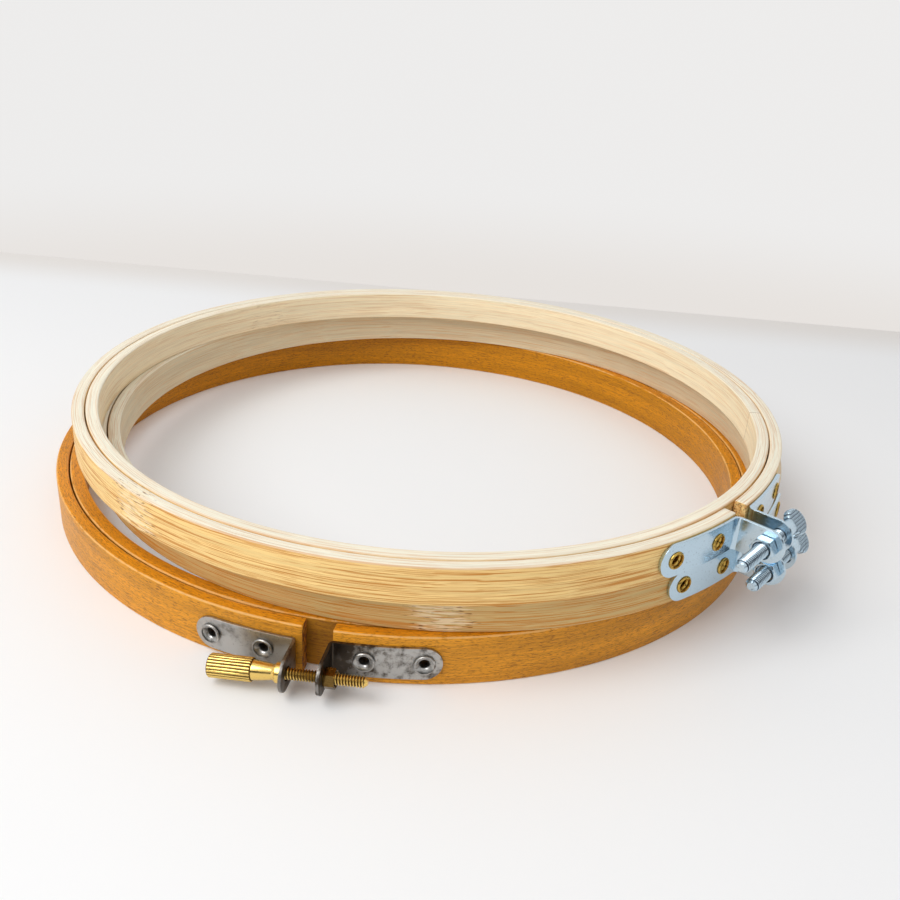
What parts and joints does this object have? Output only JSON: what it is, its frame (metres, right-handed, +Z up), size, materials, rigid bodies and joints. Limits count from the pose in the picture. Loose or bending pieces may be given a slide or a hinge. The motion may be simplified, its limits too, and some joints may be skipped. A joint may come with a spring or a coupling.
{
  "type": "embroidery hoop",
  "caption": "Stack of round wooden embroidery hoops, each a closed inner ring inside a split outer ring that a thumb screw draws tight through riveted angle brackets.",
  "frame": {"origin": "middle of the stack's base, on the surface it stands on, with the clamps counted in its box", "axes": "+Z up along the hoops' axes; the beech hoop's split and clamp face about -Y, the bamboo hoops' clamps face between +X and -Y"},
  "size_m": [0.212, 0.2176, 0.0326],
  "materials": {
    "beech_wood": "varnished orange-brown, fine flecked grain along the ring",
    "bamboo": "bare sanded pale bamboo with streaks along the ring",
    "dull_nickel": "worn, mottled nickel plate",
    "bright_zinc": "bright blue-white zinc plate",
    "brass": "turned, knurled brass",
    "aged_brass": "darkened brass",
    "brass_eyelet": "rolled brass"
  },
  "bodies": {
    "beech_outer": {"beech_outer_ring": "beech_wood", "beech_left_bracket": "dull_nickel", "beech_left_eyelets": "dull_nickel"},
    "beech_free_end": {"beech_right_bracket": "dull_nickel", "beech_right_eyelets": "dull_nickel", "beech_clamp_nut": "aged_brass"},
    "beech_screw": {"beech_clamp_screw": "brass"},
    "beech_inner": {"beech_inner_ring": "beech_wood"},
    "lower_bamboo_outer": {"lower_bamboo_outer_ring": "bamboo", "lower_bamboo_rear_bracket": "bright_zinc", "lower_bamboo_rear_eyelets": "brass_eyelet"},
    "lower_bamboo_free_end": {"lower_bamboo_front_bracket": "bright_zinc", "lower_bamboo_front_eyelets": "brass_eyelet", "lower_bamboo_clamp_nut": "bright_zinc"},
    "lower_bamboo_screw": {"lower_bamboo_clamp_screw": "bright_zinc"},
    "lower_bamboo_inner": {"lower_bamboo_inner_ring": "bamboo"},
    "upper_bamboo_outer": {"upper_bamboo_outer_ring": "bamboo", "upper_bamboo_rear_bracket": "bright_zinc", "upper_bamboo_rear_eyelets": "brass_eyelet"},
    "upper_bamboo_free_end": {"upper_bamboo_front_bracket": "bright_zinc", "upper_bamboo_front_eyelets": "brass_eyelet", "upper_bamboo_clamp_nut": "bright_zinc"},
    "upper_bamboo_screw": {"upper_bamboo_clamp_screw": "bright_zinc"},
    "upper_bamboo_inner": {"upper_bamboo_inner_ring": "bamboo"}
  },
  "joints": [
    {"name": "beech_screw_turn", "type": "hinge", "parent": "beech_outer", "child": "beech_screw", "pos_m": [-0.02295, -0.10313, 0.00508], "axis": [0.9891, -0.1355, 0.0576], "range_deg": [-1800, 270]},
    {"name": "beech_ring_flex", "type": "hinge", "parent": "beech_outer", "child": "beech_free_end", "pos_m": [0.01127, 0.10621, 0.0064], "axis": [0, 0, 1], "range_deg": [-0.13, 0.88], "deforming": ["beech_outer_ring"]},
    {"name": "beech_inner_lift", "type": "slide", "parent": "beech_outer", "child": "beech_inner", "axis": [0, 0, 1], "range_m": [0, 0.025]},
    {"name": "lower_bamboo_lift_off", "type": "slide", "parent": "beech_inner", "child": "lower_bamboo_outer", "axis": [0, 0, 1], "range_m": [0, 0.04]},
    {"name": "lower_bamboo_screw_turn", "type": "hinge", "parent": "lower_bamboo_outer", "child": "lower_bamboo_screw", "pos_m": [0.09367, -0.06015, 0.01767], "axis": [-0.6289, -0.7767, -0.0349], "range_deg": [-1800, 270]},
    {"name": "lower_bamboo_ring_flex", "type": "hinge", "parent": "lower_bamboo_outer", "child": "lower_bamboo_free_end", "pos_m": [-0.07078, 0.06666, 0.018], "axis": [0, 0, 1], "range_deg": [-0.94, 0.14], "deforming": ["lower_bamboo_outer_ring"]},
    {"name": "lower_bamboo_inner_lift", "type": "slide", "parent": "lower_bamboo_outer", "child": "lower_bamboo_inner", "axis": [0, 0, 1], "range_m": [0, 0.025]},
    {"name": "upper_bamboo_lift_off", "type": "slide", "parent": "lower_bamboo_inner", "child": "upper_bamboo_outer", "axis": [0, 0, 1], "range_m": [0, 0.04]},
    {"name": "upper_bamboo_screw_turn", "type": "hinge", "parent": "upper_bamboo_outer", "child": "upper_bamboo_screw", "pos_m": [0.08753, -0.06934, 0.02793], "axis": [-0.6504, -0.7588, -0.0349], "range_deg": [-1800, 270]},
    {"name": "upper_bamboo_ring_flex", "type": "hinge", "parent": "upper_bamboo_outer", "child": "upper_bamboo_free_end", "pos_m": [-0.07216, 0.06274, 0.0279], "axis": [0, 0, 1], "range_deg": [-0.94, 0.14], "deforming": ["upper_bamboo_outer_ring"]},
    {"name": "upper_bamboo_inner_lift", "type": "slide", "parent": "upper_bamboo_outer", "child": "upper_bamboo_inner", "axis": [0, 0, 1], "range_m": [0, 0.025]}
  ],
  "couplings": [
    {"joint": "beech_screw_turn", "follows": "beech_ring_flex", "ratio": -2049.8},
    {"joint": "lower_bamboo_screw_turn", "follows": "lower_bamboo_ring_flex", "ratio": 1918.2},
    {"joint": "upper_bamboo_screw_turn", "follows": "upper_bamboo_ring_flex", "ratio": 1914.5}
  ]
}
